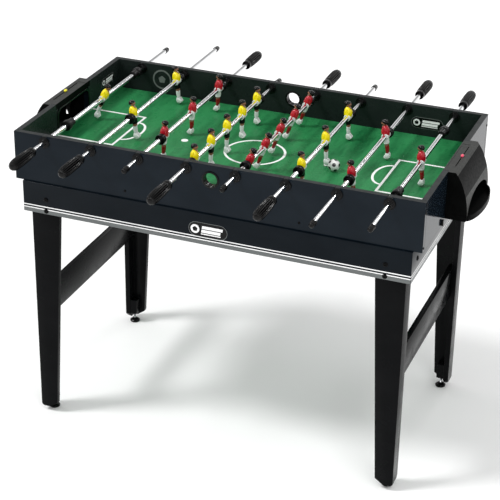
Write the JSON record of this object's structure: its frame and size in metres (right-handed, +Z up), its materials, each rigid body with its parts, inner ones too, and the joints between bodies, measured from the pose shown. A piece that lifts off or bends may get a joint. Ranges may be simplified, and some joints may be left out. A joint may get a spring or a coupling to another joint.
{
  "type": "foosball table",
  "caption": "Eight-rod foosball table on four tapered legs, with sliding and spinning player rods, goals with ball-return cups, score sliders and levelling feet.",
  "frame": {"origin": "on the floor under the middle of the playing field", "axes": "+X along the table's length towards the right goal, +Y from the front side to the rear, +Z up"},
  "size_m": [1.26, 1.063, 0.8681],
  "materials": {
    "charcoal_laminate": "satin foil over board",
    "green_field": "printed satin",
    "black_plastic": "matt",
    "grey_moulding": "fine textured",
    "chromed_steel": "polished",
    "black_grip": "satin",
    "yellow_player": "painted gloss",
    "red_player": "painted gloss",
    "yellow_bead": "gloss",
    "red_bead": "gloss",
    "white_ball": "gloss"
  },
  "bodies": {
    "table": {"playfield": "green_field", "side_panel_front": "charcoal_laminate", "side_panel_rear": "charcoal_laminate", "end_panel_left": "charcoal_laminate", "end_panel_right": "charcoal_laminate", "apron_frame": "charcoal_laminate", "leg_front_left": "charcoal_laminate", "leg_front_right": "charcoal_laminate", "leg_rear_left": "charcoal_laminate", "leg_rear_right": "charcoal_laminate", "stretcher_left": "charcoal_laminate", "stretcher_right": "charcoal_laminate", "ball_return_left": "grey_moulding", "ball_return_right": "grey_moulding"},
    "slide_rod_1": {"rod_1": "chromed_steel"},
    "spin_rod_1": {"handle_1": "black_grip", "man_1_1": "yellow_player"},
    "slide_rod_2": {"rod_2": "chromed_steel"},
    "spin_rod_2": {"handle_2": "black_grip", "man_2_1": "yellow_player", "man_2_2": "yellow_player"},
    "slide_rod_3": {"rod_3": "chromed_steel"},
    "spin_rod_3": {"handle_3": "black_grip", "man_3_1": "red_player", "man_3_2": "red_player", "man_3_3": "red_player"},
    "slide_rod_4": {"rod_4": "chromed_steel"},
    "spin_rod_4": {"handle_4": "black_grip", "man_4_1": "yellow_player", "man_4_2": "yellow_player", "man_4_3": "yellow_player", "man_4_4": "yellow_player", "man_4_5": "yellow_player"},
    "slide_rod_5": {"rod_5": "chromed_steel"},
    "spin_rod_5": {"handle_5": "black_grip", "man_5_1": "red_player", "man_5_2": "red_player", "man_5_3": "red_player", "man_5_4": "red_player", "man_5_5": "red_player"},
    "slide_rod_6": {"rod_6": "chromed_steel"},
    "spin_rod_6": {"handle_6": "black_grip", "man_6_1": "yellow_player", "man_6_2": "yellow_player", "man_6_3": "yellow_player"},
    "slide_rod_7": {"rod_7": "chromed_steel"},
    "spin_rod_7": {"handle_7": "black_grip", "man_7_1": "red_player", "man_7_2": "red_player"},
    "slide_rod_8": {"rod_8": "chromed_steel"},
    "spin_rod_8": {"handle_8": "black_grip", "man_8_1": "red_player"},
    "bead_left": {"score_bead_left": "yellow_bead"},
    "foot_front_left": {"leveler_front_left": "black_plastic"},
    "foot_rear_left": {"leveler_rear_left": "black_plastic"},
    "bead_right": {"score_bead_right": "red_bead"},
    "foot_front_right": {"leveler_front_right": "black_plastic"},
    "foot_rear_right": {"leveler_rear_right": "black_plastic"},
    "ball": {"ball": "white_ball"}
  },
  "joints": [
    {"name": "rod_1_slide", "type": "slide", "parent": "table", "child": "slide_rod_1", "axis": [0, 1, 0], "range_m": [-0.095, 0.019]},
    {"name": "rod_1_spin", "type": "hinge", "parent": "slide_rod_1", "child": "spin_rod_1", "pos_m": [-0.462, 0.038, 0.824], "axis": [0, 1, 0], "continuous": true},
    {"name": "rod_2_slide", "type": "slide", "parent": "table", "child": "slide_rod_2", "axis": [0, 1, 0], "range_m": [-0.205, 0.017]},
    {"name": "rod_2_spin", "type": "hinge", "parent": "slide_rod_2", "child": "spin_rod_2", "pos_m": [-0.33, 0.094, 0.824], "axis": [0, 1, 0], "continuous": true},
    {"name": "rod_3_slide", "type": "slide", "parent": "table", "child": "slide_rod_3", "axis": [0, 1, 0], "range_m": [-0.11, 0.028]},
    {"name": "rod_3_spin", "type": "hinge", "parent": "slide_rod_3", "child": "spin_rod_3", "pos_m": [-0.198, 0.041, 0.824], "axis": [0, 1, 0], "continuous": true},
    {"name": "rod_4_slide", "type": "slide", "parent": "table", "child": "slide_rod_4", "axis": [0, 1, 0], "range_m": [-0.001, 0.073]},
    {"name": "rod_4_spin", "type": "hinge", "parent": "slide_rod_4", "child": "spin_rod_4", "pos_m": [-0.066, -0.036, 0.824], "axis": [0, 1, 0], "continuous": true},
    {"name": "rod_5_slide", "type": "slide", "parent": "table", "child": "slide_rod_5", "axis": [0, 1, 0], "range_m": [-0.038, 0.036]},
    {"name": "rod_5_spin", "type": "hinge", "parent": "slide_rod_5", "child": "spin_rod_5", "pos_m": [0.066, 0.001, 0.824], "axis": [0, 1, 0], "continuous": true},
    {"name": "rod_6_slide", "type": "slide", "parent": "table", "child": "slide_rod_6", "axis": [0, 1, 0], "range_m": [-0.063, 0.075]},
    {"name": "rod_6_spin", "type": "hinge", "parent": "slide_rod_6", "child": "spin_rod_6", "pos_m": [0.198, -0.006, 0.824], "axis": [0, 1, 0], "continuous": true},
    {"name": "rod_7_slide", "type": "slide", "parent": "table", "child": "slide_rod_7", "axis": [0, 1, 0], "range_m": [-0.062, 0.16]},
    {"name": "rod_7_spin", "type": "hinge", "parent": "slide_rod_7", "child": "spin_rod_7", "pos_m": [0.33, -0.049, 0.824], "axis": [0, 1, 0], "continuous": true},
    {"name": "rod_8_slide", "type": "slide", "parent": "table", "child": "slide_rod_8", "axis": [0, 1, 0], "range_m": [-0.024, 0.09]},
    {"name": "rod_8_spin", "type": "hinge", "parent": "slide_rod_8", "child": "spin_rod_8", "pos_m": [0.462, -0.033, 0.824], "axis": [0, 1, 0], "continuous": true},
    {"name": "score_bead_left_slide", "type": "slide", "parent": "table", "child": "bead_left", "axis": [0, 1, 0], "range_m": [-0.0605, 0.0605]},
    {"name": "leveler_front_left_screw", "type": "slide", "parent": "table", "child": "foot_front_left", "axis": [0, 0, -1], "range_m": [0, 0.01]},
    {"name": "leveler_rear_left_screw", "type": "slide", "parent": "table", "child": "foot_rear_left", "axis": [0, 0, -1], "range_m": [0, 0.01]},
    {"name": "score_bead_right_slide", "type": "slide", "parent": "table", "child": "bead_right", "axis": [0, 1, 0], "range_m": [-0.0605, 0.0605]},
    {"name": "leveler_front_right_screw", "type": "slide", "parent": "table", "child": "foot_front_right", "axis": [0, 0, -1], "range_m": [0, 0.01]},
    {"name": "leveler_rear_right_screw", "type": "slide", "parent": "table", "child": "foot_rear_right", "axis": [0, 0, -1], "range_m": [0, 0.01]},
    {"name": "ball_lift", "type": "slide", "parent": "table", "child": "ball", "axis": [0, 0, 1], "range_m": [0, 0.12]}
  ]
}
